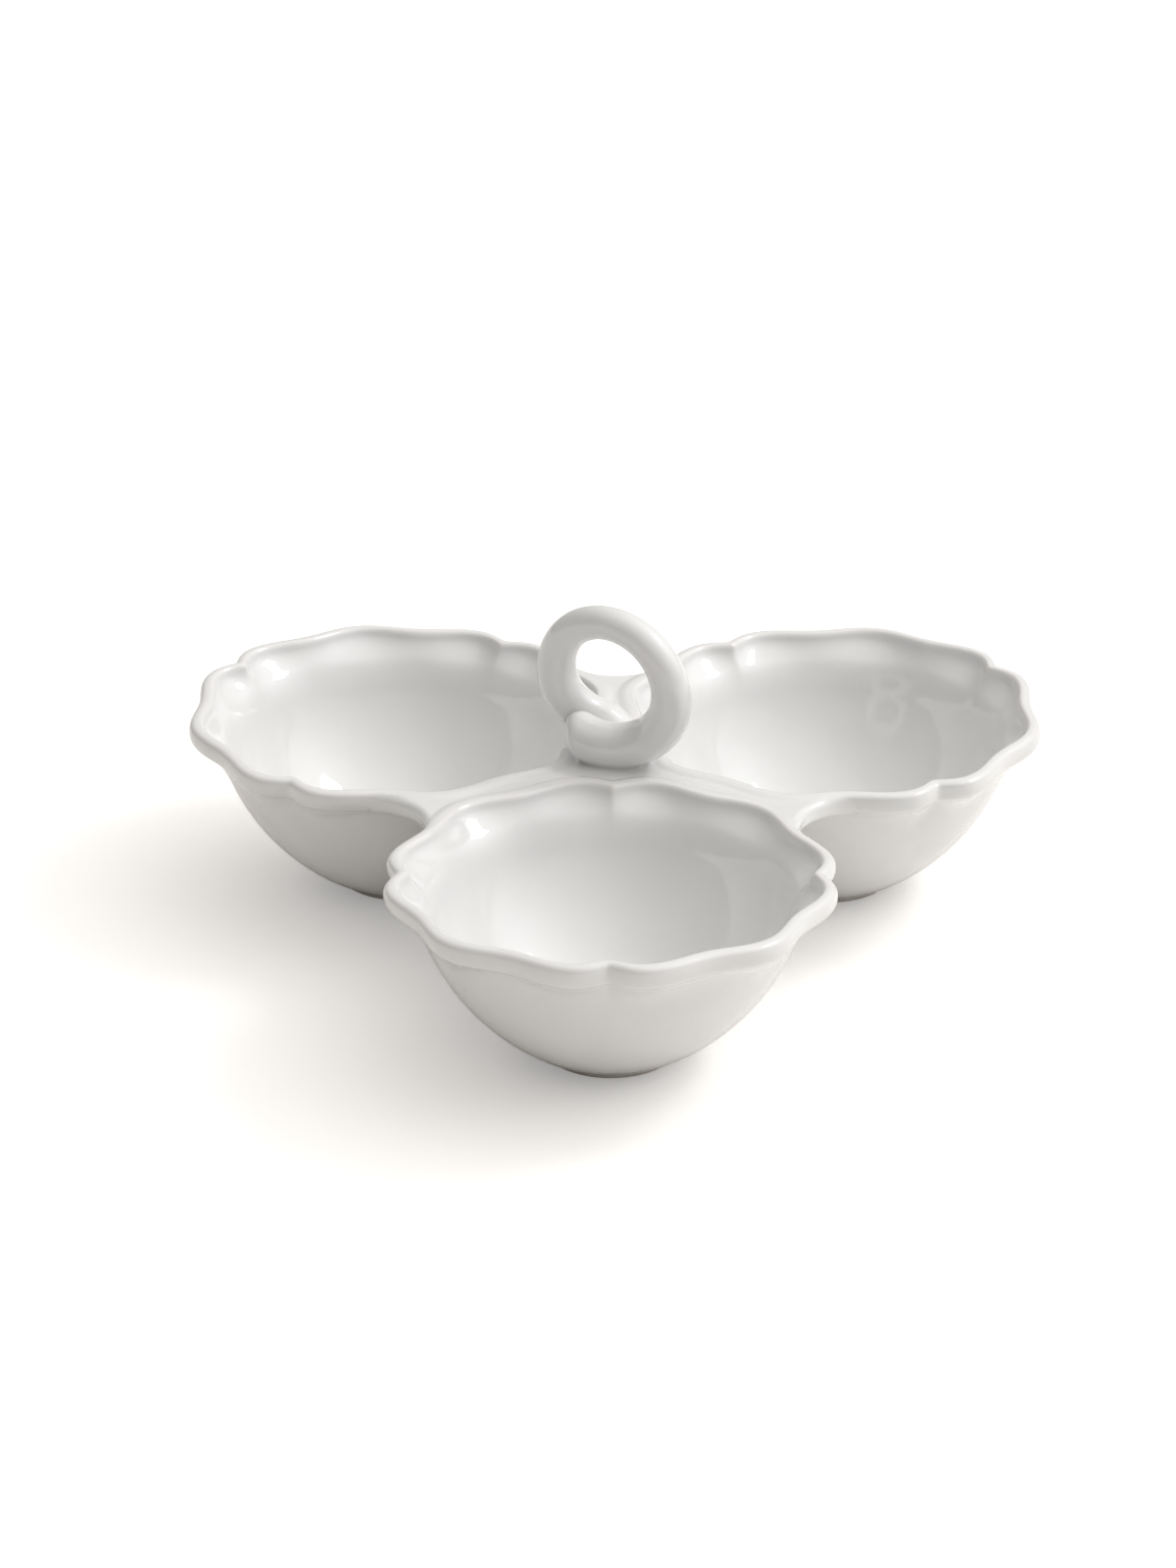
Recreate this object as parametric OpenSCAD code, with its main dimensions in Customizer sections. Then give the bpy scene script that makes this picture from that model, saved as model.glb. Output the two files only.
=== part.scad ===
// Divided serving bowl: three scalloped bowls in a trefoil, a web that joins
// their rims, and a rolled ring handle that stands on the middle of the web.
// The front bowl faces -Y, and the feet stand on the plane z = 0.

/* [Bowls] */
// Diameter of each bowl, halfway between the lobes and the dips of its lip
bowl_d = 155.4; // [140:0.1:175]
// Height of the middle of the lip above the table
lip_z = 68.2; // [60:0.1:80]
// Clear gap between neighbouring lips where they come closest
neck_gap = 4.8; // [3:0.1:12]
// Thickness of the bowl wall
wall = 5.1; // [4:0.1:7]
// Thickness of the bowl floor
floor_t = 5.6; // [4.5:0.1:8]
// How far the side of the bowl swells beyond a straight cone
body_bulge = 8; // [5:0.1:10]

/* [Rim] */
// Width of the rolled lip
lip_w = 7.7; // [6.5:0.1:9]
// Height of the roll above the middle of the lip
lip_up = 3.9; // [3:0.1:5]
// Depth of the roll below the middle of the lip
lip_drop = 4.8; // [4:0.1:6]
// Difference in radius between a lobe and a dip of the lip
scallop_h = 3.9; // [2:0.1:5]
// Depth of each pinched notch below the lobes beside it
notch_h = 4.5; // [2:0.1:5.5]
// How much higher the lip is at the outer end of a bowl
rim_rise = 2; // [0:0.1:4]
// Depth of the neck under the roll, below the middle of the lip
neck_drop = 7.4; // [6.5:0.1:9]
// How far the neck lies inside the mean lip
neck_in = 5.4; // [4.5:0.1:7]
// Depth of the fluted flare inside the rim, below the middle of the lip
flare_drop = 6; // [5:0.1:7.5]

/* [Feet] */
// Outer diameter of a foot ring at the table
foot_d = 50; // [42:0.5:60]
// Height of a foot ring
foot_h = 2.6; // [2:0.1:5]
// Width of the ring's flat bottom
foot_w = 4.4; // [3:0.1:6]
// How far the foot ring flares out towards the bowl
foot_flare = 1.2; // [0.5:0.1:2]
// Width of the bowl's underside left outside the foot ring
foot_step = 1; // [0.5:0.1:2.5]

/* [Web] */
// How far the top of the web is drawn back at its three free edges
edge_round = 1.7; // [0.5:0.1:2.5]

/* [Ring handle] */
// Diameter of the ring along the middle of the coil
ring_d = 50.4; // [44:0.1:60]
// Thickness of the coil at the base of the ring
coil_base_d = 17.8; // [15:0.1:20]
// Thickness of the coil at the top of the ring
coil_top_d = 12.8; // [10:0.1:15]
// Thickness of the coil's tail, where it tucks behind the base
coil_tail_d = 8.6; // [7:0.1:10]
// Gap between the lapped ends of the coil
lap_gap = 0.5; // [0.4:0.1:1]
// Turn of the ring about the vertical
ring_yaw = 30; // [0:1:60]
// Lean of the ring towards the front
ring_lean = 6; // [0:0.5:8]

/* [Handle seat] */
// Height of the clay wad under the ring
seat_h = 2.6; // [1.5:0.1:4]
// How far the ring is pressed into the wad
seat_sink = 2; // [1:0.1:3]
// Width of the wad's top beyond the pressed face of the coil
seat_margin = 1; // [0.5:0.1:2]
// How far the wad spreads on the web
seat_spread = 3.6; // [1.5:0.1:5]

/* [Hidden] */
glaze_white = [0.94, 0.93, 0.91];
bare_clay = [0.86, 0.82, 0.76];
$fn = 96;

// Directions of the bowls, counter-clockwise, and the turn from one to the next
front_dir = 270;
right_dir = 30;
left_dir = 150;
bowl_turn = 120;
bowl_dirs = [front_dir, right_dir, left_dir];

// Scallops: each quarter has a notch, a lobe on each side of it and a lobe between notches
notch_turn = 90;
lobe_turn = 10;
wave_turn = notch_turn / 2 - lobe_turn;
lip_r = bowl_d / 2;
lip_half = lip_w / 2;

// Columns of a bowl, and the rows of its profile
columns = 72;
turn = 360 / columns;
lip_turn = 30;
lip_start_turn = -90;
lip_end_turn = 150;
lip_rows = (lip_end_turn - lip_start_turn) / lip_turn;
wall_rows = 6;
rise_power = 3;
shelf_shares = [0.45, 0.65];

// Side of a bowl: an arc from the foot's seat up to the neck
foot_r = foot_d / 2;
foot_top_r = foot_r + foot_flare;
body_foot_r = foot_top_r + foot_step;
neck_r = lip_r - neck_in;
neck_z = lip_z - neck_drop;
flare_z = lip_z - flare_drop;
floor_z = foot_h + floor_t;
chord = [neck_r - body_foot_r, neck_z - foot_h];
chord_l = norm(chord);
body_r = body_bulge / 2 + chord_l * chord_l / (8 * body_bulge);
chord_out = [chord.y, -chord.x] / chord_l;
body_mid = [body_foot_r + neck_r, foot_h + neck_z] / 2 + chord_out * (body_bulge - body_r);
inner_r = body_r - wall;

// Radius of the lip's middle at an angle from the bowl's outward direction
function lip_radius(a) =
    let (from_notch = abs((a + 360 + notch_turn / 2) % notch_turn - notch_turn / 2))
    from_notch < lobe_turn
        ? lip_r + scallop_h / 2 - notch_h * (1 - sin(90 * from_notch / lobe_turn))
        : lip_r + scallop_h / 2 * cos(360 * (from_notch - lobe_turn) / wave_turn);

// Points on the side arc, outside or inside the wall, from one height to another
function arc_turn(r, z) = asin((z - body_mid.y) / r);
function side_arc(r, from_z, to_z, steps) =
    let (from = arc_turn(r, from_z), to = arc_turn(r, to_z))
    [for (i = [0:steps]) let (t = from + (to - from) * i / steps) body_mid + r * [cos(t), sin(t)]];

// Profile of a bowl at an angle: up the outside, over the lip and down the inside
outside = side_arc(body_r, foot_h, neck_z, wall_rows);
inside = side_arc(inner_r, flare_z, floor_z, wall_rows);
function lip_point(a, t) =
    [lip_radius(a) + lip_half * cos(t), lip_z + (t > 0 && t < 180 ? lip_up : lip_drop) * sin(t)];
function lip_roll(a) = [for (i = [0:lip_rows]) lip_point(a, lip_start_turn + lip_turn * i)];
function shelf(a) =
    let (top = lip_point(a, lip_end_turn), low = inside[0])
    [top.x + (low.x - top.x) * shelf_shares[0], top.y + (low.y - top.y) * shelf_shares[1]];
function profile(a) = concat(outside, lip_roll(a), [shelf(a)], inside);
rows = 2 * (wall_rows + 1) + lip_rows + 2;
lip_row = wall_rows + 1;

// Distance of the bowls from the middle: the lips keep their gap where they come closest
function reach(a) = (lip_radius(a) + lip_half) * cos(a - 180 + bowl_turn / 4);
neck_reach = max([for (i = [0:columns - 1]) reach(turn * i)]);
bowl_out = (neck_reach + neck_gap / 2) / sin(bowl_turn / 2);

// A profile point set in its bowl; the rim rises towards the outer end, and the floor stays level
function rise(a, z) =
    rim_rise * pow(max(0, cos(a)), 2) * pow(max(0, z - floor_z) / (lip_z - floor_z), rise_power);
function set_out(dir, a, p) =
    [bowl_out * cos(dir) + p.x * cos(dir + a),
     bowl_out * sin(dir) + p.x * sin(dir + a),
     p.y + rise(a, p.y)];
function bowl_point(dir, a, row) = set_out(dir, a, profile(a)[row]);

// The origin is below the middle of the part's box
outer_row = lip_row - lip_start_turn / lip_turn;
front_y = min([for (i = [0:columns - 1]) bowl_point(front_dir, turn * i, outer_row).y]);
back_y = max([for (i = [0:columns - 1]) bowl_point(right_dir, turn * i, outer_row).y]);
middle = [0, -(front_y + back_y) / 2, 0];

// Triangles of a quad whose corners run a, b on one row and d, c on the next
function quad(a, b, c, d) = [[a, d, c], [a, c, b]];
function flip(faces) = [for (f = faces) [f[0], f[2], f[1]]];
function flat(lists) = [for (l = lists) each l];

// One bowl, turned to its direction
module bowl(dir) {
    angles = [for (i = [0:columns - 1]) turn * i];
    shell = [for (a = angles) for (p = profile(a)) set_out(dir, a, p)];
    axis = bowl_out * [cos(dir), sin(dir), 0];
    poles = [axis + [0, 0, foot_h], axis + [0, 0, floor_z]];
    base_pole = columns * rows;
    floor_pole = base_pole + 1;
    function at(i, row) = (i % columns) * rows + row;
    skin = flat([for (i = [0:columns - 1]) for (row = [0:rows - 2])
        quad(at(i, row), at(i + 1, row), at(i + 1, row + 1), at(i, row + 1))]);
    caps = flat([for (i = [0:columns - 1])
        [[base_pole, at(i, 0), at(i + 1, 0)],
         [floor_pole, at(i + 1, rows - 1), at(i, rows - 1)]]]);
    translate(middle) polyhedron(concat(shell, poles), concat(skin, caps));
}

// One foot ring: a low turned ring with a flat top and a flat bottom
module foot(dir) {
    inner_bottom = foot_r - foot_w;
    inner_top = inner_bottom - foot_flare;
    translate(middle + bowl_out * [cos(dir), sin(dir), 0])
        rotate_extrude()
            polygon([[inner_bottom, 0], [foot_r, 0], [foot_top_r, foot_h], [inner_top, foot_h]]);
}

// Web: it meets each lip from one row of the roll down to its lowest row
web_top_turn = 30;
web_rows = (web_top_turn - lip_start_turn) / lip_turn;
web_half_columns = 13;
web_columns = 2 * web_half_columns;
edge_half_steps = 3;
edge_steps = 2 * edge_half_steps;
fan_column = 9;
web_top_z = lip_point(0, web_top_turn).y;
web_low_z = lip_z - lip_drop;
edge_a = 180 - web_half_columns * turn;
edge_turn = edge_a - bowl_turn / 2;
edge_lip = bowl_out * [cos(bowl_turn / 2), -sin(bowl_turn / 2)]
    + lip_radius(edge_a) * [cos(edge_turn), sin(edge_turn)];
edge_r = -edge_lip.y / sin(edge_turn);
edge_mid = edge_lip.x + edge_r * cos(edge_turn);

// A point of a free edge, counted from one bowl to the next
function edge_point(arm, k, j) =
    let (share = k / edge_steps,
         t = edge_turn * (1 - 2 * share),
         lip_t = web_top_turn - lip_turn * j,
         drawn = j == 0 ? edge_round * sin(180 * share) : 0,
         out = edge_mid - (edge_r - lip_half * cos(lip_t) + drawn) * cos(t),
         side = (edge_r - lip_half * cos(lip_t) + drawn) * sin(t),
         dir = bowl_dirs[arm] + bowl_turn / 2)
    [out * cos(dir) + side * sin(dir), out * sin(dir) - side * cos(dir), lip_point(0, lip_t).y];

module web() {
    bowls = len(bowl_dirs);
    levels = web_rows + 1;
    contact = [for (dir = bowl_dirs) for (c = [0:web_columns]) for (j = [0:web_rows])
        bowl_point(dir, edge_a + turn * c, lip_row + web_rows - j)];
    edges = [for (arm = [0:bowls - 1]) for (k = [1:edge_steps - 1]) for (j = [0:web_rows])
        edge_point(arm, k, j)];
    edge_start = bowls * (web_columns + 1) * levels;
    top_pole = edge_start + bowls * (edge_steps - 1) * levels;
    low_pole = top_pole + 1;
    poles = [[0, 0, web_top_z], [0, 0, web_low_z]];
    function at(b, c, j) = ((b % bowls) * (web_columns + 1) + c) * levels + j;
    function edge(arm, k, j) =
        k == 0 ? at(arm, 0, j)
        : k == edge_steps ? at(arm + 1, web_columns, j)
        : edge_start + (arm * (edge_steps - 1) + k - 1) * levels + j;
    // Faces against the lips, and the free edges
    seams = flat([for (b = [0:bowls - 1]) for (c = [0:web_columns - 1]) for (j = [0:web_rows - 1])
        flip(quad(at(b, c, j + 1), at(b, c + 1, j + 1), at(b, c + 1, j), at(b, c, j)))]);
    noses = flat([for (arm = [0:bowls - 1]) for (k = [0:edge_steps - 1]) for (j = [0:web_rows - 1])
        quad(edge(arm, k, j + 1), edge(arm, k + 1, j + 1), edge(arm, k + 1, j), edge(arm, k, j))]);
    // One level face: a fan round the middle, a ladder along each arm and a strip at its free edge
    function right(arm, c, j) = at(arm, c, j);
    function left(arm, c, j) = at(arm + 1, web_columns - c, j);
    function fan(pole, j) = flat([for (b = [0:bowls - 1])
        concat([for (c = [fan_column:web_columns - fan_column - 1])
                   [pole, at(b, c, j), at(b, c + 1, j)]],
               [[pole, left(b, fan_column, j), right(b, fan_column, j)]])]);
    function ladder(arm, j) = flat([for (c = [edge_half_steps:fan_column - 1])
        quad(left(arm, c + 1, j), right(arm, c + 1, j), right(arm, c, j), left(arm, c, j))]);
    function strip(arm, j) = concat(
        [[right(arm, 0, j), right(arm, 1, j), edge(arm, 1, j)],
         [left(arm, 0, j), edge(arm, edge_steps - 1, j), left(arm, 1, j)],
         [left(arm, edge_half_steps, j), edge(arm, edge_half_steps, j), right(arm, edge_half_steps, j)]],
        flat([for (k = [1:edge_half_steps - 1]) concat(
            quad(edge(arm, k + 1, j), right(arm, k + 1, j), right(arm, k, j), edge(arm, k, j)),
            quad(left(arm, k + 1, j), edge(arm, edge_steps - k - 1, j),
                 edge(arm, edge_steps - k, j), left(arm, k, j)))]));
    function level(pole, j) = concat(fan(pole, j),
        flat([for (arm = [0:bowls - 1]) concat(ladder(arm, j), strip(arm, j))]));
    color(glaze_white) translate(middle)
        polyhedron(concat(contact, edges, poles),
                   concat(seams, noses, level(top_pole, 0), flip(level(low_pole, web_rows))));
}

// Ring handle: the coil starts at the front of the base, goes once round and tucks in behind
ring_r = ring_d / 2;
base_turn = 270;
coil_start_turn = -115;
coil_end_turn = 262;
coil_steps = 66;
coil_sides = 14;
coil_mid_r = (coil_base_d + coil_top_d) / 4;
coil_swell = (coil_base_d - coil_top_d) / 4;
tail_r = coil_tail_d / 2;
lap_turn = 75;
tail_turn = 50;
end_turn = 16;
lap = coil_base_d / 2 + tail_r + lap_gap;
seat_z = web_top_z + seat_h;
ring_z = seat_z - seat_sink + coil_base_d / 2 + ring_r * cos(ring_lean);
ring_side = [cos(ring_yaw), -sin(ring_yaw), 0];
ring_front = [-sin(ring_yaw), -cos(ring_yaw), 0];
ring_up = cos(ring_lean) * [0, 0, 1] + sin(ring_lean) * ring_front;
ring_axis = cos(ring_lean) * ring_front - sin(ring_lean) * [0, 0, 1];

function ease(x) = let (s = min(1, max(0, x))) s * s * (3 - 2 * s);
function dome(x) = sqrt(max(0, 1 - pow(1 - min(1, max(0, x)), 2)));
// Sideways place of the coil's middle: forward at its start, back at its tail
function coil_shift(t) =
    lap / 2 * (1 - ease((t - coil_start_turn) / lap_turn))
        - lap / 2 * ease((t - coil_end_turn) / tail_turn + 1);
// Radius of the coil before its ends are rounded, and how much thinner the tail is
function coil_full(t) = coil_mid_r - coil_swell * sin(t);
function coil_thin(t) = (coil_full(t) - tail_r) * ease((t - coil_end_turn + end_turn) / tail_turn + 1);
function coil_r(t) =
    (coil_full(t) - coil_thin(t))
        * dome((t - coil_start_turn) / end_turn) * dome((coil_end_turn - t) / end_turn);
function coil_mid(t) =
    [0, 0, ring_z] + (ring_r + coil_thin(t)) * (cos(t) * ring_side + sin(t) * ring_up)
        + coil_shift(t) * ring_axis;
function pressed(p) = [p.x, p.y, max(p.z, seat_z)];
function coil_point(t, s) =
    pressed(coil_mid(t)
        + coil_r(t) * (cos(s) * (cos(t) * ring_side + sin(t) * ring_up) + sin(s) * ring_axis));

module ring_handle() {
    step = (coil_end_turn - coil_start_turn) / coil_steps;
    turns = [for (i = [1:coil_steps - 1]) coil_start_turn + step * i];
    side = 360 / coil_sides;
    skin = [for (t = turns) for (s = [0:coil_sides - 1]) coil_point(t, side * s)];
    last = len(turns) - 1;
    first_pole = len(skin);
    last_pole = first_pole + 1;
    function at(i, s) = i * coil_sides + s % coil_sides;
    sides = flat([for (i = [0:last - 1]) for (s = [0:coil_sides - 1])
        quad(at(i, s), at(i, s + 1), at(i + 1, s + 1), at(i + 1, s))]);
    ends = flat([for (s = [0:coil_sides - 1])
        [[first_pole, at(0, s), at(0, s + 1)], [last_pole, at(last, s + 1), at(last, s)]]]);
    poles = [coil_mid(coil_start_turn), coil_mid(coil_end_turn)];
    color(glaze_white) translate(middle) polyhedron(concat(skin, poles), concat(sides, ends));
}

// Handle seat: a low oval wad, hollowed at its side, between the web and the pressed coil
seat_columns = 36;
seat_rows = 4;
seat_clear = 0.4;
web_room = min([for (c = [0:web_columns])
    let (p = bowl_point(front_dir, edge_a + turn * c, lip_row + web_rows)) norm([p.x, p.y])]);
seat_room = web_room - seat_clear;
press_r = ring_r + coil_base_d / 2;
press_long = sqrt(press_r * press_r - pow(press_r - seat_sink, 2));
base_press = sqrt(pow(coil_base_d / 2, 2) - pow(coil_base_d / 2 - seat_sink, 2));
tail_press = sqrt(pow(tail_r, 2) - pow(tail_r - seat_sink, 2));
press_front = coil_shift(base_turn - 360) + base_press;
press_back = coil_shift(coil_end_turn) - tail_press;
press_wide = (press_front - press_back) / 2;
seat_middle = ((press_front + press_back) / 2 - ring_r * sin(ring_lean)) * ring_front;

module handle_seat() {
    side = 360 / seat_columns;
    // Spread of the side at a share of its height: wide on the web, upright under the coil
    function spread(share) = seat_margin + seat_spread * (1 - sin(90 * share));
    // The fillet on the web ends clear of the lips around it
    function kept(p) = p * min(1, seat_room / norm(p));
    skin = [for (i = [0:seat_rows]) for (c = [0:seat_columns - 1])
        let (out = spread(i / seat_rows))
        kept(seat_middle + (press_long + out) * cos(side * c) * ring_side
                + (press_wide + out) * sin(side * c) * ring_front)
            + [0, 0, web_top_z + seat_h * i / seat_rows]];
    low_pole = len(skin);
    top_pole = low_pole + 1;
    poles = [seat_middle + [0, 0, web_top_z], seat_middle + [0, 0, seat_z]];
    function at(i, c) = i * seat_columns + c % seat_columns;
    sides = flat([for (i = [0:seat_rows - 1]) for (c = [0:seat_columns - 1])
        flip(quad(at(i, c), at(i, c + 1), at(i + 1, c + 1), at(i + 1, c)))]);
    ends = flat([for (c = [0:seat_columns - 1])
        [[low_pole, at(0, c + 1), at(0, c)], [top_pole, at(seat_rows, c), at(seat_rows, c + 1)]]]);
    color(glaze_white) translate(middle) polyhedron(concat(skin, poles), concat(sides, ends));
}

module front_bowl() { color(glaze_white) bowl(front_dir); }
module left_bowl() { color(glaze_white) bowl(left_dir); }
module right_bowl() { color(glaze_white) bowl(right_dir); }
module front_foot() { color(bare_clay) foot(front_dir); }
module left_foot() { color(bare_clay) foot(left_dir); }
module right_foot() { color(bare_clay) foot(right_dir); }

front_bowl();
left_bowl();
right_bowl();
front_foot();
left_foot();
right_foot();
web();
handle_seat();
ring_handle();
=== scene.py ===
"""Looks of the divided serving bowl: three scalloped bowls, a web and a ring handle under one white glaze."""

import logging
import math
from collections.abc import Callable, Iterable, Sequence
from dataclasses import dataclass, field
from enum import Enum
from typing import Any

import bpy
import numpy as np
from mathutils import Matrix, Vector


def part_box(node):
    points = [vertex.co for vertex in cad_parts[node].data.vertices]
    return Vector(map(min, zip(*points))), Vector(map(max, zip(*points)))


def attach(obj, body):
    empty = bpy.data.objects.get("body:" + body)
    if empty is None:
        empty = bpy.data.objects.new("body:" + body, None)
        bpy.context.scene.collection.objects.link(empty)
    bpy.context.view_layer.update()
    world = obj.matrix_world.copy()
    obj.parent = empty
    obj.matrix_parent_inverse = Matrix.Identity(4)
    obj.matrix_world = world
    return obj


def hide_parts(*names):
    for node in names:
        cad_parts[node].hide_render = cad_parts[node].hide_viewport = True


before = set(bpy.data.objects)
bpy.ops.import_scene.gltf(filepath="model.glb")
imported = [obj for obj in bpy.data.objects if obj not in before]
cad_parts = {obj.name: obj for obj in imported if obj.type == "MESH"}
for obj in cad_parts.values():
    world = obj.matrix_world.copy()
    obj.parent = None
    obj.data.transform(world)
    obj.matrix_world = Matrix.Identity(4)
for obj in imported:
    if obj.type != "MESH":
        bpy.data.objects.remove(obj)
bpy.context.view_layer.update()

Array = np.ndarray
Colour = tuple[float, float, float, float]
Span = tuple[float, float]
LOG = logging.getLogger("serving_bowl")
MM = 0.001
BODY = "root"
BREAK_ATTRIBUTE = "glaze_break"
# Least divisors, for points where a slope or a length is nothing.
TINY = 1e-9
SMALL = 1e-6


class Place(Enum):
    """Where a bowl stands in the trefoil: the turn of its outward direction, in degrees."""

    FRONT = 270.0
    RIGHT = 30.0
    LEFT = 150.0

    def node(self, part: str) -> str:
        """Name of the part's node at this place, such as left_foot."""
        return f"{self.name.lower()}_{part}"


class Slot(Enum):
    """Material slots of the record."""

    GLAZE = "glaze"
    BARE_FOOT = "bare_foot"


def ease(x: Array) -> Array:
    """Smooth step from 0 to 1 as x goes from 0 to 1."""
    share = np.clip(x, 0.0, 1.0)
    return share * share * (3.0 - 2.0 * share)


def dome(x: Array) -> Array:
    """Quarter circle from 0 to 1 as x goes from 0 to 1."""
    return np.sqrt(np.maximum(0.0, 1.0 - (1.0 - np.clip(x, 0.0, 1.0)) ** 2))


def soft_min(a: Array, b: Array, reach: Array | float) -> Array:
    """Smaller of two distances, with a fillet where they differ by less than the reach.

    Args:
        a: Distances to one skin.
        b: Distances to the other skin.
        reach: Difference at which the fillet ends.

    Returns:
        The distances to the joined skin.
    """
    share = np.maximum(reach - np.abs(a - b), 0.0) / reach
    return np.minimum(a, b) - share * share * reach / 4.0


def bend(start: Array, corner: Array, end: Array, steps: int) -> Array:
    """Rounded corner between two points.

    Args:
        start: Points where the bend starts, one a row.
        corner: The corners.
        end: Points where the bend ends.
        steps: Points along each bend.

    Returns:
        Points of shape (columns, steps, 2), without the end points.
    """
    share = np.linspace(0.0, 1.0, steps, endpoint=False)[None, :, None]
    ends = start[:, None] * (1.0 - share) ** 2 + end[:, None] * share**2
    return ends + corner[:, None] * 2.0 * share * (1.0 - share)


def stretch(start: Array, end: Array, steps: int) -> Array:
    """Straight row of points from start towards end, of shape (columns, steps, 2), without the end."""
    share = np.linspace(0.0, 1.0, steps, endpoint=False)[None, :, None]
    return start[:, None] * (1.0 - share) + end[:, None] * share


class Form:
    """A solid known by its signed distance in millimetres, which is negative inside."""

    step: float = 0.01
    flattest: float = 0.05

    def distance(self, points: Array) -> Array:
        """Signed distance of each point."""
        raise NotImplementedError

    def slope(self, points: Array) -> Array:
        """Gradient of the distance at each point."""
        sides = [self.distance(points + e) - self.distance(points - e) for e in np.eye(3) * self.step]
        return np.stack(sides, axis=1) / (2.0 * self.step)

    def normals(self, points: Array) -> Array:
        """Outward unit vector of the skin at each point."""
        slope = self.slope(points)
        return slope / np.maximum(np.linalg.norm(slope, axis=1, keepdims=True), TINY)

    def settle(self, points: Array, limit: float, rounds: int = 4) -> Array:
        """Move points onto the skin.

        Args:
            points: Points near the skin.
            limit: Longest move in one round.
            rounds: Rounds of moving.

        Returns:
            The points on the skin.
        """
        for _ in range(rounds):
            slope = self.slope(points)
            steep = np.maximum((slope**2).sum(axis=1, keepdims=True), self.flattest)
            move = slope * (self.distance(points)[:, None] / steep)
            size = np.maximum(np.linalg.norm(move, axis=1, keepdims=True), TINY)
            points = points - move * np.minimum(1.0, limit / size)
        return points


@dataclass(frozen=True)
class SkinNet:
    """Lays an even net of quads on the skin of a form.

    Attributes:
        pitch: Size of a quad, in millimetres.
        rounds: Rounds of evening out the net.
    """

    pitch: float = 0.6
    rounds: int = 3

    def lay(self, form: Form, low: Sequence[float], high: Sequence[float]) -> tuple[Array, Array]:
        """Lay the net on the part of the skin that is in a box.

        Args:
            form: The form to cover.
            low: Lowest corner of the box.
            high: Highest corner of the box.

        Returns:
            The net's points and its quads.
        """
        axes = [np.arange(a, b + self.pitch, self.pitch) for a, b in zip(low, high)]
        grid = np.stack(np.meshgrid(*axes, indexing="ij"), axis=-1)
        values = form.distance(grid.reshape(-1, 3)).reshape(grid.shape[:3])
        cells = np.array(values.shape) - 1
        total = np.zeros((cells.prod(), 3))
        count = np.zeros(cells.prod())
        quads = []
        for axis in range(3):
            lower = np.delete(values, -1, axis=axis)
            upper = np.delete(values, 0, axis=axis)
            place = np.argwhere((lower < 0.0) != (upper < 0.0))
            second, third = (axis + 1) % 3, (axis + 2) % 3
            inner = np.all([(place[:, k] > 0) & (place[:, k] < cells[k]) for k in (second, third)], axis=0)
            place = place[inner]
            start = lower[tuple(place.T)]
            share = start / (start - upper[tuple(place.T)])
            crossing = grid[tuple(place.T)].copy()
            crossing[:, axis] += share * self.pitch
            ring = []
            for back, down in ((1, 1), (0, 1), (0, 0), (1, 0)):
                cell = place.copy()
                cell[:, second] -= back
                cell[:, third] -= down
                number = np.ravel_multi_index(tuple(cell.T), tuple(cells))
                np.add.at(total, number, crossing)
                np.add.at(count, number, 1.0)
                ring.append(number)
            quad = np.stack(ring, axis=1)
            quads.append(np.where((start < 0.0)[:, None], quad, quad[:, ::-1]))
        used = np.flatnonzero(count)
        renumber = np.zeros(len(count), dtype=int)
        renumber[used] = np.arange(len(used))
        faces = renumber[np.concatenate(quads)]
        points = form.settle(total[used] / count[used, None], self.pitch)
        for _ in range(self.rounds):
            points = form.settle(self.evened(points, faces), self.pitch)
        return points, faces

    @staticmethod
    def evened(points: Array, faces: Array) -> Array:
        """Even out a net.

        Args:
            points: Points of the net.
            faces: Its quads.

        Returns:
            The points, each moved to the mean of its neighbours.
        """
        total = np.zeros_like(points)
        count = np.zeros((len(points), 1))
        for a, b in ((0, 1), (1, 2), (2, 3), (3, 0)):
            for here, there in ((a, b), (b, a)):
                np.add.at(total, faces[:, here], points[faces[:, there]])
                np.add.at(count, faces[:, here], 1.0)
        return total / count


class SharedSkin(Form):
    """A skin that runs over several pieces. The piece between them dips under its neighbours."""

    net: SkinNet = SkinNet()

    def dip(self, points: Array) -> Array:
        """How far the piece between lies under the skin, past the ends of its fillets."""
        raise NotImplementedError

    def smoothed(self, points: Array, normals: Array, shared: Array) -> Array:
        """Normals of a neighbour, taken from the shared skin where it lies on it.

        Args:
            points: Points of the neighbour.
            normals: Its own normals.
            shared: True for the points on the shared skin.

        Returns:
            The normals to shade with, which run on from one piece to the other.
        """
        normals = normals.copy()
        normals[shared] = self.normals(points[shared])
        return normals

    def piece(self, name: str, low: Sequence[float], high: Sequence[float]) -> bpy.types.Object:
        """Build the piece between the neighbours.

        Args:
            name: Name of the piece.
            low: Lowest corner of the box in which it lies.
            high: Highest corner of the box.

        Returns:
            The piece, whose edges dip under its neighbours.
        """
        points, faces = self.net.lay(Between(self), low, high)
        return make_piece(name, points, faces, lambda at, own: self.normals(at))


@dataclass
class Between(Form):
    """The piece between the neighbours of a shared skin."""

    skin: SharedSkin

    def distance(self, points: Array) -> Array:
        """Signed distance to the piece."""
        return self.skin.distance(points) + self.skin.dip(points)


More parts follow.
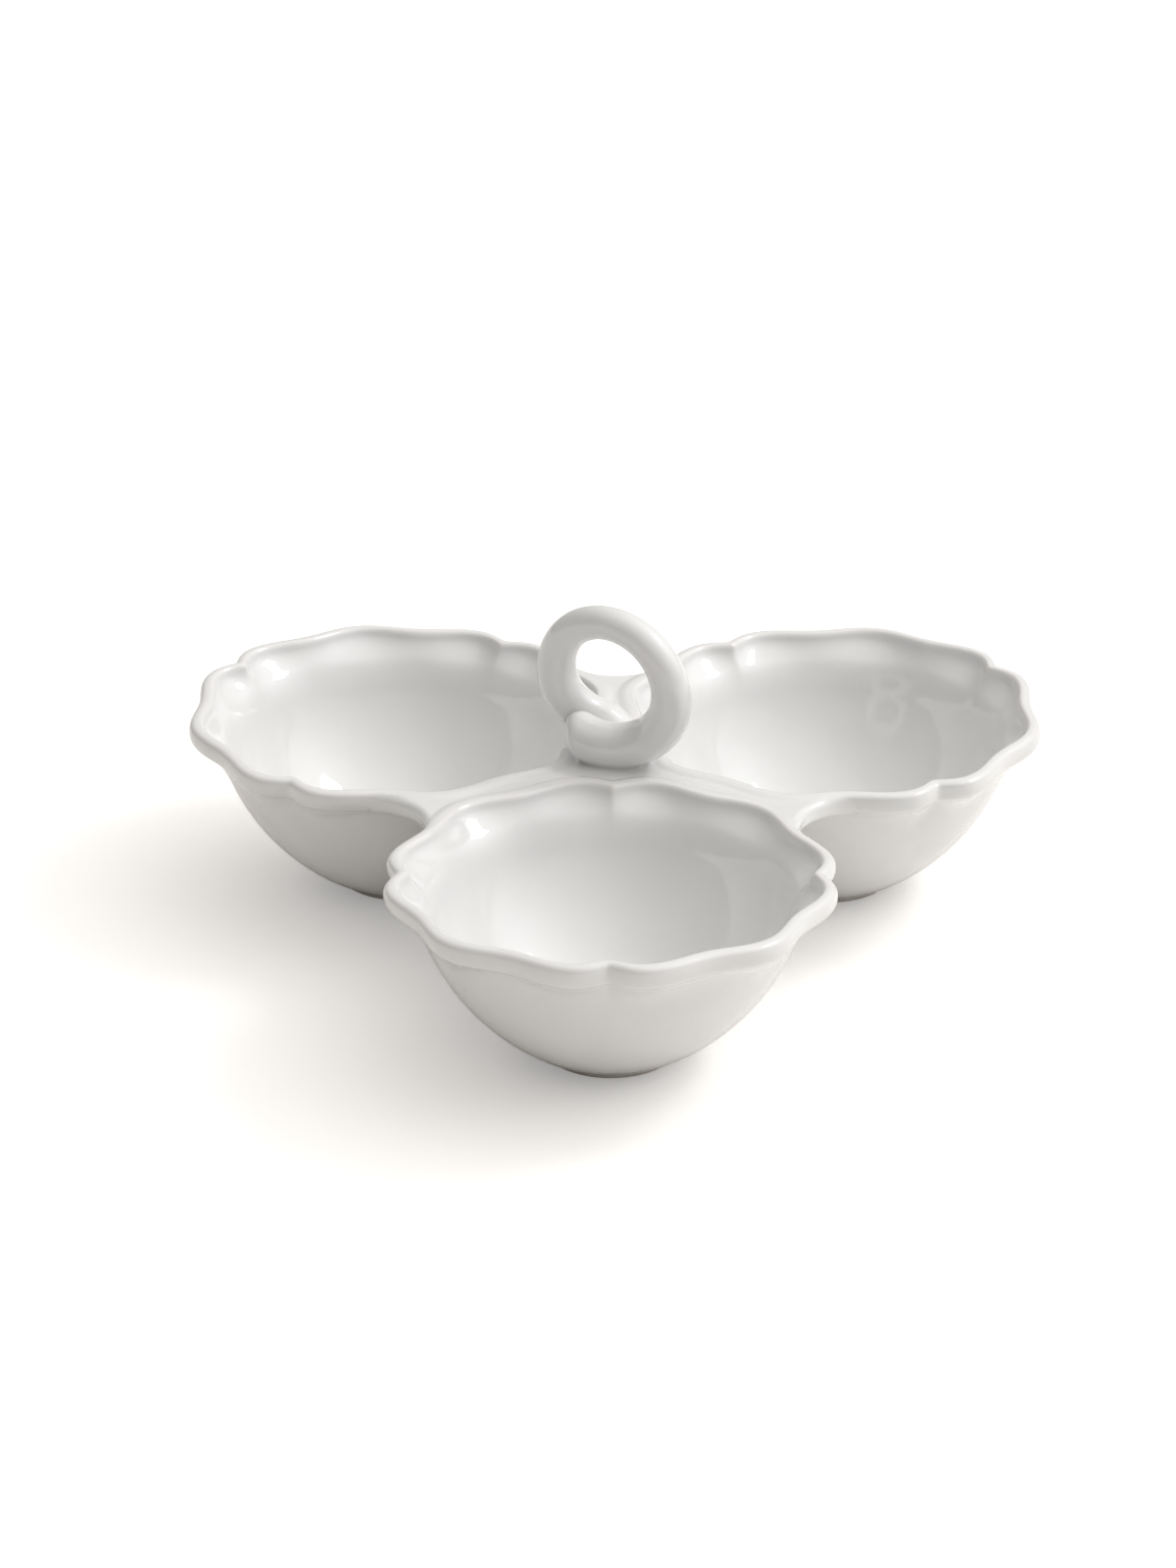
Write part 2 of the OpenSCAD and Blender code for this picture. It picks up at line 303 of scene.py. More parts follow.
class Wire:
    """A shader socket; arithmetic on it adds Math nodes."""

    def __init__(self, shader: "Shader", socket: bpy.types.NodeSocket) -> None:
        """Wrap a socket of the shader."""
        self.shader = shader
        self.socket = socket

    def math(self, operation: str, *values: "Wire | float") -> "Wire":
        """Math node of that operation on the values."""
        return self.shader.node("ShaderNodeMath", {"operation": operation}, dict(enumerate(values)))

    def __add__(self, other: "Wire | float") -> "Wire":
        """Sum."""
        return self.math("ADD", self, other)

    __radd__ = __add__

    def __sub__(self, other: "Wire | float") -> "Wire":
        """Difference."""
        return self.math("SUBTRACT", self, other)

    def __rsub__(self, other: "Wire | float") -> "Wire":
        """Difference, the other way round."""
        return self.math("SUBTRACT", other, self)

    def __mul__(self, other: "Wire | float") -> "Wire":
        """Product."""
        return self.math("MULTIPLY", self, other)

    __rmul__ = __mul__

    def __pow__(self, other: "Wire | float") -> "Wire":
        """Power."""
        return self.math("POWER", self, other)

    def at_least(self, other: "Wire | float") -> "Wire":
        """Greater of the two."""
        return self.math("MAXIMUM", self, other)

    def between(self, low: float, high: float) -> "Wire":
        """Smooth step of the value from low to high."""
        inputs = {"Value": self, "From Min": low, "From Max": high}
        return self.shader.node("ShaderNodeMapRange", {"interpolation_type": "SMOOTHSTEP"}, inputs)


class Shader:
    """Node tree of a material or of the world."""

    def __init__(self, owner: bpy.types.Material | bpy.types.World) -> None:
        """Start with an empty tree.

        Args:
            owner: The material or the world.
        """
        owner.use_nodes = True
        self.owner = owner
        self.tree = owner.node_tree
        self.tree.nodes.clear()

    @classmethod
    def of_material(cls, name: str) -> "Shader":
        """Start a new material."""
        return cls(bpy.data.materials.new(name))

    def node(
        self,
        kind: str,
        settings: dict[str, Any] | None = None,
        inputs: dict[str | int, Any] | None = None,
        output: str | int = 0,
    ) -> Wire:
        """Add a node.

        Args:
            kind: Type of the node.
            settings: Properties of the node, set first.
            inputs: Values or wires of its sockets.
            output: The output to return.

        Returns:
            The wrapped output.
        """
        made = self.tree.nodes.new(kind)
        for key, value in (settings or {}).items():
            setattr(made, key, value)
        for key, value in (inputs or {}).items():
            if isinstance(value, Wire):
                self.tree.links.new(value.socket, made.inputs[key])
            else:
                made.inputs[key].default_value = value
        return Wire(self, made.outputs[output] if made.outputs else None)

    def where(self) -> Wire:
        """Place on the piece, in metres."""
        return self.node("ShaderNodeTexCoord", output="Object")

    def mix(self, share: Wire | float, first: Any, second: Any) -> Wire:
        """Colour between two colours."""
        inputs = {"Factor": share, 6: first, 7: second}
        return self.node("ShaderNodeMix", {"data_type": "RGBA"}, inputs, output=2)

    def noise(self, where: Wire, scale: float, detail: float = 3.0) -> Wire:
        """Even noise from 0 to 1, with its scale in cycles a metre."""
        return self.node("ShaderNodeTexNoise", None, {"Vector": where, "Scale": scale, "Detail": detail})

    def bump(self, height: Wire, depth: float, under: Wire | None = None) -> Wire:
        """Bump of the surface.

        Args:
            height: Height from 0 to 1.
            depth: Depth of the bump, in metres.
            under: Another bump that it lies on.

        Returns:
            The bumped normal.
        """
        inputs: dict[str | int, Any] = {"Height": height, "Distance": depth, "Strength": 1.0}
        if under is not None:
            inputs["Normal"] = under
        return self.node("ShaderNodeBump", None, inputs)

    def vector(self, operation: str, values: dict[str | int, Any], output: str | int = 0) -> Wire:
        """Vector Math node of that operation on the values."""
        return self.node("ShaderNodeVectorMath", {"operation": operation}, values, output)

    def end(self, surface: Wire) -> bpy.types.Material | bpy.types.World:
        """Join the surface to the output.

        Args:
            surface: The finished surface, or the world's background.

        Returns:
            The material or the world.
        """
        of_world = isinstance(self.owner, bpy.types.World)
        kind = "ShaderNodeOutputWorld" if of_world else "ShaderNodeOutputMaterial"
        self.node(kind, None, {"Surface": surface})
        return self.owner


@dataclass(frozen=True)
class GlazeFinish:
    """Clear glossy glaze over a white body.

    Attributes:
        white: Colour of the thick glaze.
        pooled: Colour where the glaze has run together.
        thin: Colour where the glaze breaks over an edge.
        sag_depth: Depth of the slow waves in the glaze, in metres; peel_depth is of the fine ones.
        break_range: Bend for each millimetre over which the glaze thins.
    """

    name: str = "white_glaze"
    white: Colour = (0.80, 0.797, 0.79, 1.0)
    pooled: Colour = (0.775, 0.778, 0.773, 1.0)
    thin: Colour = (0.77, 0.74, 0.715, 1.0)
    gloss_roughness: float = 0.055
    refraction: float = 1.52
    sag_scale: float = 70.0
    sag_depth: float = 0.00016
    peel_scale: float = 620.0
    peel_depth: float = 0.000006
    patch_scale: float = 26.0
    patch_range: Span = (0.42, 0.68)
    break_range: Span = (0.10, 0.46)
    ragged_scale: float = 340.0
    ragged_range: Span = (0.75, 1.25)
    cloud_scale: float = 48.0
    cloud_range: float = 0.05
    coat: float = 0.4
    coat_roughness: float = 0.03

    def material(self) -> bpy.types.Material:
        """Make the material.

        Returns:
            The glaze, whose tone follows how thick it lies and whose gloss varies in clouds.
        """
        shader = Shader.of_material(self.name)
        return shader.end(self.surface(shader, shader.where()))

    def colour(self, shader: Shader, where: Wire) -> Wire:
        """Colour of the glaze.

        Args:
            shader: The material's nodes.
            where: Place on the piece.

        Returns:
            White, pooled in patches and thin on edges.
        """
        broken = shader.node("ShaderNodeAttribute", {"attribute_name": BREAK_ATTRIBUTE}, output="Fac")
        patches = shader.noise(where, self.patch_scale).between(*self.patch_range)
        body = shader.mix(patches, self.white, self.pooled)
        low, high = self.ragged_range
        ragged = shader.noise(where, self.ragged_scale) * (high - low) + low
        return shader.mix(broken.between(*self.break_range) * ragged, body, self.thin)

    def surface(self, shader: Shader, where: Wire) -> Wire:
        """Surface of the glaze.

        Args:
            shader: The material's nodes.
            where: Place on the piece.

        Returns:
            The glossy surface, with its waves and orange peel.
        """
        clouds = shader.noise(where, self.cloud_scale) * self.cloud_range
        peel = shader.bump(shader.noise(where, self.peel_scale, 1.0), self.peel_depth)
        sag = shader.bump(shader.noise(where, self.sag_scale, 1.0), self.sag_depth, peel)
        return shader.node(
            "ShaderNodeBsdfPrincipled",
            None,
            {
                "Base Color": self.colour(shader, where),
                "Roughness": clouds + (self.gloss_roughness - self.cloud_range / 2),
                "IOR": self.refraction,
                "Coat Weight": self.coat,
                "Coat Roughness": self.coat_roughness,
                "Normal": sag,
            },
        )


@dataclass(frozen=True)
class FootFinish:
    """Foot ring: glazed at the side, wiped down to the bare body where it stands.

    Attributes:
        clay: Colour of the bare body.
        stain: Colour of the body where it is worn.
        wiped_to: Height to which the glaze is wiped off, in metres.
        ragged: How far the wiped line strays, in metres.
    """

    glaze: GlazeFinish
    name: str = "wiped_foot"
    clay: Colour = (0.74, 0.67, 0.58, 1.0)
    stain: Colour = (0.60, 0.53, 0.45, 1.0)
    wiped_to: float = 0.0011
    ragged: float = 0.0005
    ragged_scale: float = 180.0
    line_half: float = 0.0001
    grit_scale: float = 1500.0
    grit_depth: float = 0.00006
    grit_roughness: Span = (0.72, 0.87)
    worn_scale: float = 120.0
    worn_range: Span = (0.4, 0.75)
    worn_share: float = 0.6
    speck_scale: float = 2600.0
    speck_range: Span = (0.68, 0.74)

    def material(self) -> bpy.types.Material:
        """Make the material.

        Returns:
            Bare clay below the wiped line and glaze above it.
        """
        shader = Shader.of_material(self.name)
        where = shader.where()
        height = shader.node("ShaderNodeSeparateXYZ", None, {"Vector": where}, output="Z")
        line = height + (shader.noise(where, self.ragged_scale, 2.0) - 0.5) * (2.0 * self.ragged)
        glazed = line.between(self.wiped_to - self.line_half, self.wiped_to + self.line_half)
        grit = shader.noise(where, self.grit_scale)
        low, high = self.grit_roughness
        worn = shader.noise(where, self.worn_scale, 4.0).between(*self.worn_range)
        specks = shader.noise(where, self.speck_scale, 1.0).between(*self.speck_range)
        stained = worn * self.worn_share + specks * (1.0 - self.worn_share)
        bare = shader.node(
            "ShaderNodeBsdfPrincipled",
            None,
            {
                "Base Color": shader.mix(stained, self.clay, self.stain),
                "Roughness": grit * (high - low) + low,
                "Normal": shader.bump(grit, self.grit_depth),
            },
        )
        glossy = self.glaze.surface(shader, where)
        return shader.end(shader.node("ShaderNodeMixShader", None, {0: glazed, 1: bare, 2: glossy}))


@dataclass(frozen=True)
class FloorFinish:
    """Pale matt table that shows white where no shadow lies."""

    name: str = "pale_table"
    pale: Colour = (0.94, 0.92, 0.895, 1.0)
    lift: float = 0.25

    def material(self) -> bpy.types.Material:
        """Make the material.

        Returns:
            Matt white that is lifted a little only where it is seen.
        """
        shader = Shader.of_material(self.name)
        seen = shader.node("ShaderNodeLightPath", output="Is Camera Ray")
        matt = shader.node("ShaderNodeBsdfDiffuse", None, {"Color": self.pale})
        light = {"Color": (1.0, 1.0, 1.0, 1.0), "Strength": seen * self.lift}
        lifted = shader.node("ShaderNodeEmission", None, light)
        return shader.end(shader.node("ShaderNodeAddShader", None, {0: matt, 1: lifted}))


def curvature(points: Array, normals: Array, edges: Array) -> Array:
    """Mean bend of the skin at each point, for each millimetre: positive on a ridge.

    Args:
        points: Points of a mesh, in millimetres.
        normals: Outward unit vectors there.
        edges: Pairs of points that are joined.

    Returns:
        The mean over the edges at each point.
    """
    along = points[edges[:, 1]] - points[edges[:, 0]]
    turn = ((normals[edges[:, 1]] - normals[edges[:, 0]]) * along).sum(axis=1)
    each = turn / np.maximum((along**2).sum(axis=1), TINY)
    total = np.zeros(len(points))
    count = np.zeros(len(points))
    for side in (0, 1):
        np.add.at(total, edges[:, side], each)
        np.add.at(count, edges[:, side], 1.0)
    return total / np.maximum(count, 1.0)


def grid_faces(columns: int, rows: int, turned: bool, closed: bool) -> list[list[int]]:
    """Quads of a grid of points, which are numbered column by column.

    Args:
        columns: Columns of points.
        rows: Points in each column.
        turned: True if the last column joins the first.
        closed: True if the last row joins the first.

    Returns:
        The quads.
    """
    column, row = np.indices((columns if turned else columns - 1, rows if closed else rows - 1))
    right, up = (column + 1) % columns, (row + 1) % rows
    corners = [column * rows + row, right * rows + row, right * rows + up, column * rows + up]
    return np.stack(corners, axis=-1).reshape(-1, 4).tolist()


def fan(pole: int, rim: Sequence[int]) -> list[list[int]]:
    """Triangles from a pole to a closed rim of points."""
    return [[pole, rim[number - 1], point] for number, point in enumerate(rim)]


def add_object(name: str, data: bpy.types.ID) -> bpy.types.Object:
    """Add an object with its data to the scene.

    Args:
        name: Name of the object.
        data: Its mesh, lamp or camera.

    Returns:
        The object.
    """
    made = bpy.data.objects.new(name, data)
    bpy.context.scene.collection.objects.link(made)
    return made


def make_piece(
    name: str,
    points: Array,
    faces: Iterable[Sequence[int]],
    correct: Callable[[Array, Array], Array] | None = None,
) -> bpy.types.Object:
    """Make a smooth mesh object.

    Args:
        name: Name of the piece.
        points: Its points, in millimetres.
        faces: Its faces, as lists of point numbers.
        correct: Gives the normals to shade with, from the points and the mesh's own normals.

    Returns:
        The object, linked to the scene.
    """
    mesh = bpy.data.meshes.new(name)
    mesh.from_pydata((points * MM).tolist(), [], [list(map(int, f)) for f in faces])
    mesh.validate()
    mesh.shade_smooth()
    normals = np.zeros(len(mesh.vertices) * 3, np.float32)
    mesh.vertex_normals.foreach_get("vector", normals)
    normals = normals.reshape(-1, 3)
    if correct is not None:
        normals = correct(points, normals)
        mesh.normals_split_custom_set_from_vertices(normals.tolist())
    edges = np.zeros(len(mesh.edges) * 2, np.int32)
    mesh.edges.foreach_get("vertices", edges)
    bends = curvature(points, normals, edges.reshape(-1, 2))
    attribute = mesh.attributes.new(BREAK_ATTRIBUTE, "FLOAT", "POINT")
    attribute.data.foreach_set("value", bends.astype(np.float32))
    return add_object(name, mesh)


def dress(piece: bpy.types.Object, node: str, finish: bpy.types.Material) -> None:
    """Give a piece its finish and let it stand for a node.

    Args:
        piece: The piece.
        node: The node that it replaces.
        finish: Its material.
    """
    piece.data.materials.append(finish)
    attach(piece, BODY)
    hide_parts(node)
    LOG.info("%s: %d points, %d faces", piece.name, len(piece.data.vertices), len(piece.data.polygons))


@dataclass(frozen=True)
class Trefoil:
    """Places of the bowls, read from the feet of the frame, in millimetres."""

    middle: Array
    spread: float

    @classmethod
    def from_frame(cls) -> "Trefoil":
        """Read the places of the three feet.

        Returns:
            The middle of the trefoil and the distance of the bowls from it.
        """
        boxes = [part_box(place.node("foot")) for place in Place]
        centres = np.array([((low + high) / 2 / MM)[:2] for low, high in boxes])
        middle = centres.mean(axis=0)
        return cls(middle, float(np.linalg.norm(centres - middle, axis=1).mean()))

    def axis(self, place: Place) -> Array:
        """Axis of the bowl at a place, as a point in plan."""
        turn = math.radians(place.value)
        return self.middle + self.spread * np.array([math.cos(turn), math.sin(turn)])

    def turned(self, place: Place, out: Array, height: Array, around: Array) -> Array:
        """Points round a bowl's axis.

        Args:
            place: The bowl's place.
            out: Distances from its axis.
            height: Heights above the table.
            around: Angles round the axis, in radians.

        Returns:
            Points of shape (columns, rows, 3).
        """
        x, y = self.axis(place)
        grids = np.broadcast_arrays(x + out * np.cos(around), y + out * np.sin(around), height)
        return np.stack(grids, axis=-1)

    def arm(self, place: Place) -> Array:
        """Direction in plan of the web's arm across from a bowl, which lies between the other two."""
        turn = math.radians((place.value + 180.0) % 360.0)
        return np.array([math.cos(turn), math.sin(turn)])


@dataclass(frozen=True)
class BowlRows:
    """Numbers of points in the stretches of a bowl's section."""

    base: int = 10
    base_corner: int = 4
    side: int = 34
    neck: int = 16
    lip_face: int = 4
    shelf: int = 6
    flare: int = 3
    edge: int = 10
    wall: int = 30
    floor_corner: int = 12
    floor: int = 5


@dataclass
class Bowl(Form):
    """A round bowl with a flared, scalloped and rolled rim.

    Sizes are in millimetres and turns in degrees. The side is an arc, and the lip a roll round
    its middle line. Shares are of the stretch that they lie on.

    Attributes:
        lip_half: Width of the roll from its middle to its outer side; lip_inner is to its inner side.
        lip_power: How square the roll's outer shoulder is: 2 is round.
        scallop_h: How far the lip waves in and out; notch_h is the depth of the pinched notches.
        neck_slope: Slope of the neck that runs down from the roll to the side.
        part_drop: Depth under the lip's middle from which the side parts from the roll.
        shelf_shares: Place of the foot of the lip's inner face, between its top and the flare's end.
        edge_cut: Length of the flare that is rounded into the wall; edge_drop is the wall's height.
        outer_turns: Start, end and step of the roll's outer rows; inner_turns are of its inner rows.
        gather: How closely the columns gather at the notches.
        shared_turn: Turn to each side of the trefoil's middle over which the web's skin is shared.
    """

    place: Place
    trefoil: Trefoil
    lip_r: float = 77.7
    lip_z: float = 68.2
    lip_half: float = 3.85
    lip_inner: float = 2.3
    lip_up: float = 3.9
    lip_drop: float = 4.8
    lip_power: float = 2.8
    scallop_h: float = 3.9
    notch_h: float = 4.5
    notch_turn: float = 90.0
    lobe_turn: float = 10.0
    notch_soft: float = 0.9
    rim_rise: float = 2.0
    rise_power: float = 3.0
    foot_h: float = 2.6
    foot_r: float = 27.2
    floor_z: float = 8.2
    side_mid: Span = (-14.0447, 81.1354)
    side_r: float = 88.707
    wall: float = 5.1
    neck_z: float = 53.0
    neck_blend: float = 6.0
    neck_slope: float = 0.7
    part_drop: float = 6.2
    part_rate: float = 0.35
    flare_z: float = 60.0
    shelf_shares: Span = (0.10, 0.22)
    shelf_cut: float = 1.5
    shelf_run: float = 3.0
    edge_cut: float = 4.5
    edge_drop: float = 9.0
    floor_cut: float = 16.0
    base_cut: float = 0.8
    base_hollow: float = 0.9
    base_shares: Span = (0.04, 0.9)
    hollow_shares: Span = (3 / 11, 8 / 11)
    pole_share: float = 0.1
    outer_turns: tuple[float, float, float] = (-56.0, 73.0, 6.0)
    inner_turns: tuple[float, float, float] = (78.0, 149.0, 8.0)
    inner_end: float = 150.0
    columns: int = 432
    gather: float = 0.62
    shared_turn: float = 75.0
    rows: BowlRows = BowlRows()

    def lip_radius(self, turn: Array) -> Array:
        """Radius of the lip's middle.

        Args:
            turn: Angles from the bowl's outward direction, in degrees.

        Returns:
            The radius there, with its lobes, dips and pinched notches.
        """
        away = np.abs((turn + 360.0 + self.notch_turn / 2) % self.notch_turn - self.notch_turn / 2)
        lobe = self.lip_r + self.scallop_h / 2
        soft = np.minimum(np.sqrt(away**2 + self.notch_soft**2), self.lobe_turn)
        depth = self.notch_h / (1.0 - math.sin(math.radians(90.0 * self.notch_soft / self.lobe_turn)))
        notch = lobe - depth * (1.0 - np.sin(np.radians(90.0 * soft / self.lobe_turn)))
        wave_turn = self.notch_turn / 2 - self.lobe_turn
        phase = np.radians(360.0 * (away - self.lobe_turn) / wave_turn)
        wave = self.lip_r + self.scallop_h / 2 * np.cos(phase)
        return np.where(away < self.lobe_turn, notch, wave)

    def rise(self, turn: Array, height: Array) -> Array:
        """How much the rim is raised at the bowl's outer end.

        Args:
            turn: Angles from the bowl's outward direction.
            height: Heights of the points.

        Returns:
            The rise, which grows from the floor up.
        """
        outer = np.maximum(0.0, np.cos(np.radians(turn))) ** 2
        share = np.maximum(0.0, height - self.floor_z) / (self.lip_z - self.floor_z)
        return self.rim_rise * outer * share**self.rise_power

    def roll(self, lip: Array, out: Array, height: Array) -> Array:
        """Distance to the rolled lip in an upright section.

        Args:
            lip: Radius of the lip's middle in the section.
            out: Distance from the bowl's axis.
            height: Height above the table.

        Returns:
            Signed distances to the roll, which has a squarer shoulder on its outer side and runs
            down to the bowl in a straight neck.
        """
        across = out - lip
        above = height - self.lip_z
        half = np.where(above > 0.0, self.lip_up, self.lip_drop)
        power = np.where((across > 0.0) & (above > 0.0), self.lip_power, 2.0)
        wide, tall = np.abs(across) / self.lip_half, np.abs(above) / half
        size = np.maximum(wide**power + tall**power, TINY) ** (1.0 / power)
        steep = np.hypot(wide ** (power - 1.0) / self.lip_half, tall ** (power - 1.0) / half)
        rounded = (size - 1.0) * size ** (power - 1.0) / np.maximum(steep, SMALL)
        start = math.atan2(self.lip_drop, self.neck_slope * self.lip_half)
        inner = across - self.lip_half * math.cos(start)
        neck = self.neck_slope * inner - self.lip_drop * math.sin(start) - above
        return np.where((inner < 0.0) & (above < 0.0), neck / math.hypot(1.0, self.neck_slope), rounded)

    def section(self, lip: Array, out: Array, height: Array) -> Array:
        """Distance to the outer skin in an upright section.

        Args:
            lip: Radius of the lip's middle in the section.
            out: Distance from the bowl's axis.
            height: Height above the table.

        Returns:
            Signed distances to the roll run into the side.
        """
        side = np.hypot(out - self.side_mid[0], height - self.side_mid[1]) - self.side_r
        side = side + self.part_rate * np.maximum(height - self.lip_z + self.part_drop, 0.0) ** 2
        return soft_min(self.roll(lip, out, height), side, self.neck_blend)

    def plan(self, points: Array) -> tuple[Array, Array]:
        """Places of points in plan.

        Args:
            points: The points.

        Returns:
            Their distances from the axis, and the lip's radius in their directions.
        """
        local = points[:, :2] - self.trefoil.axis(self.place)
        turn = np.degrees(np.arctan2(local[:, 1], local[:, 0])) - self.place.value
        return np.hypot(local[:, 0], local[:, 1]), self.lip_radius(turn)

    def distance(self, points: Array) -> Array:
        """Signed distance to the outer skin, on the side of the trefoil's middle."""
        out, lip = self.plan(points)
        return self.section(lip, out, points[:, 2])

    def inward(self, points: Array, tuck: float = 0.0) -> Array:
        """How far each point lies inside the lip's middle line, or a line that far outside it."""
        out, lip = self.plan(points)
        return lip + tuck - out

    def lip_distance(self, points: Array) -> Array:
        """Signed distance to the rolled lip alone."""
        out, lip = self.plan(points)
        return self.roll(lip, out, points[:, 2])

    def lip_point(self, lip: Array, turn: float) -> Array:
        """Points of the roll.

        Args:
            lip: Radius of the lip's middle in each column.
            turn: Angle round the roll, zero being outermost.

        Returns:
            Points of shape (columns, 2).
        """
        wide, tall = math.cos(math.radians(turn)), math.sin(math.radians(turn))
        half = self.lip_up if tall > 0.0 else self.lip_drop
        power = 2.0 / (self.lip_power if wide > 0.0 and tall > 0.0 else 2.0)
        reach = self.lip_half if wide > 0.0 else self.lip_inner
        out = lip + reach * math.copysign(abs(wide) ** power, wide)
        height = self.lip_z + half * math.copysign(abs(tall) ** power, tall)
        return np.stack([out, np.full_like(lip, height)], axis=-1)

    def lip_rows(self, lip: Array, turns: tuple[float, float, float]) -> Array:
        """Rows of the roll at some turns, of shape (columns, rows, 2)."""
        return np.stack([self.lip_point(lip, turn) for turn in np.arange(*turns)], axis=1)

    def side_point(self, radius: float, height: Array) -> Array:
        """Points of a side arc of that radius at some heights."""
        rise = np.asarray(height, dtype=float) - self.side_mid[1]
        return np.stack([self.side_mid[0] + np.sqrt(radius**2 - rise**2), rise + self.side_mid[1]], axis=-1)

    def side_arc(self, radius: float, from_z: float, to_z: float, steps: int) -> Array:
        """Even row of points along a side arc.

        Args:
            radius: Radius of the arc.
            from_z: Height of its first point.
            to_z: Height of its end, which is left out.
            steps: Number of points.

        Returns:
            Points of shape (1, steps, 2).
        """
        start, end = (math.asin((z - self.side_mid[1]) / radius) for z in (from_z, to_z))
        turn = np.linspace(start, end, steps, endpoint=False)
        return np.array(self.side_mid) + radius * np.stack([np.cos(turn), np.sin(turn)], axis=-1)[None]

    def outside(self, lip: Array) -> Array:
        """Profile from the middle of the underside to the top of the roll.

        Args:
            lip: Radius of the lip's middle in each column.

        Returns:
            Points of shape (columns, rows, 2).
        """
        same = np.ones_like(lip)[:, None]
        corner = np.array([self.foot_r, self.foot_h]) * same
        under = np.array([self.foot_r - self.base_cut, self.foot_h]) * same
        share = np.linspace(*self.base_shares, self.rows.base)
        full, none = self.hollow_shares
        hollow = self.foot_h + self.base_hollow * ease((none - share) / (none - full))
        base = np.stack([share * self.foot_r, hollow], axis=-1)[None] * same[..., None]
        lift_z = self.foot_h + self.base_cut
        lift = self.side_point(self.side_r, lift_z) * same
        side = self.side_arc(self.side_r, lift_z, self.neck_z, self.rows.side) * same[..., None]
        roll = self.lip_rows(lip, self.outer_turns)
        neck = stretch(self.side_point(self.side_r, self.neck_z) * same, roll[:, 0], self.rows.neck)
        free = self.settled(lip, np.concatenate([side, neck, roll], axis=1))
        return np.concatenate([base, bend(under, corner, lift, self.rows.base_corner), free], axis=1)

    def settled(self, lip: Array, rows: Array, rounds: int = 6) -> Array:
        """Move rows of an upright section onto the outer skin.

        Args:
            lip: Radius of the lip's middle in each column.
            rows: Points near the skin, of shape (columns, rows, 2).
            rounds: Rounds of moving.

        Returns:
            The points on the skin.
        """
        lip = lip[:, None]
        step, span = self.step, 2.0 * self.step
        out, height = rows[..., 0], rows[..., 1]
        for _ in range(rounds):
            across = self.section(lip, out + step, height) - self.section(lip, out - step, height)
            up = self.section(lip, out, height + step) - self.section(lip, out, height - step)
            across, up = across / span, up / span
            move = self.section(lip, out, height) / np.maximum(across**2 + up**2, self.flattest)
            out, height = out - move * across, height - move * up
        return np.stack([out, height], axis=-1)

    def inside(self, lip: Array) -> Array:
        """Profile from the top of the roll down to the middle of the floor.

        Args:
            lip: Radius of the lip's middle in each column.

        Returns:
            Points of shape (columns, rows, 2).
        """
        same = np.ones_like(lip)[:, None]
        inner_r = self.side_r - self.wall
        top = self.lip_point(lip, self.inner_end)
        edge = self.side_point(inner_r, self.flare_z) * same
        shelf = top + (edge - top) * np.array(self.shelf_shares)
        down = (shelf - top) / np.linalg.norm(shelf - top, axis=1, keepdims=True)
        flat = (edge - shelf) / np.linalg.norm(edge - shelf, axis=1, keepdims=True)
        steep_z = self.flare_z - self.edge_drop
        wall_top = self.side_point(inner_r, steep_z) * same
        floor_r = self.side_point(inner_r, self.floor_z)[0]
        wall_low_z = self.floor_z + self.floor_cut / 2
        wall_low = self.side_point(inner_r, wall_low_z) * same
        floor_corner = np.array([floor_r, self.floor_z]) * same
        floor_start = np.array([floor_r - self.floor_cut, self.floor_z]) * same
        shelf_start, shelf_end = shelf - down * self.shelf_cut, shelf + flat * self.shelf_run
        edge_start = edge - flat * self.edge_cut
        pole = floor_start * np.array([self.pole_share, 1.0])
        return np.concatenate(
            [
                self.lip_rows(lip, self.inner_turns),
                stretch(top, shelf_start, self.rows.lip_face),
                bend(shelf_start, shelf, shelf_end, self.rows.shelf),
                stretch(shelf_end, edge_start, self.rows.flare),
                bend(edge_start, edge, wall_top, self.rows.edge),
                self.side_arc(inner_r, steep_z, wall_low_z, self.rows.wall) * same[..., None],
                bend(wall_low, floor_corner, floor_start, self.rows.floor_corner),
                stretch(floor_start, pole, self.rows.floor),
            ],
            axis=1,
        )

    def turns(self) -> Array:
        """Directions of the columns, which gather at the notches."""
        even = np.arange(self.columns) * 360.0 / self.columns
        gather = self.gather * self.notch_turn / (2.0 * math.pi)
        return even - gather * np.sin(2.0 * math.pi * even / self.notch_turn)

    def faces_middle(self, points: Array) -> Array:
        """True for points that lie towards the trefoil's middle, where the web is."""
        axis = self.trefoil.axis(self.place)
        toward = (points[:, :2] - axis) @ self.trefoil.arm(self.place)
        return toward > self.plan(points)[0] * math.cos(math.radians(self.shared_turn))

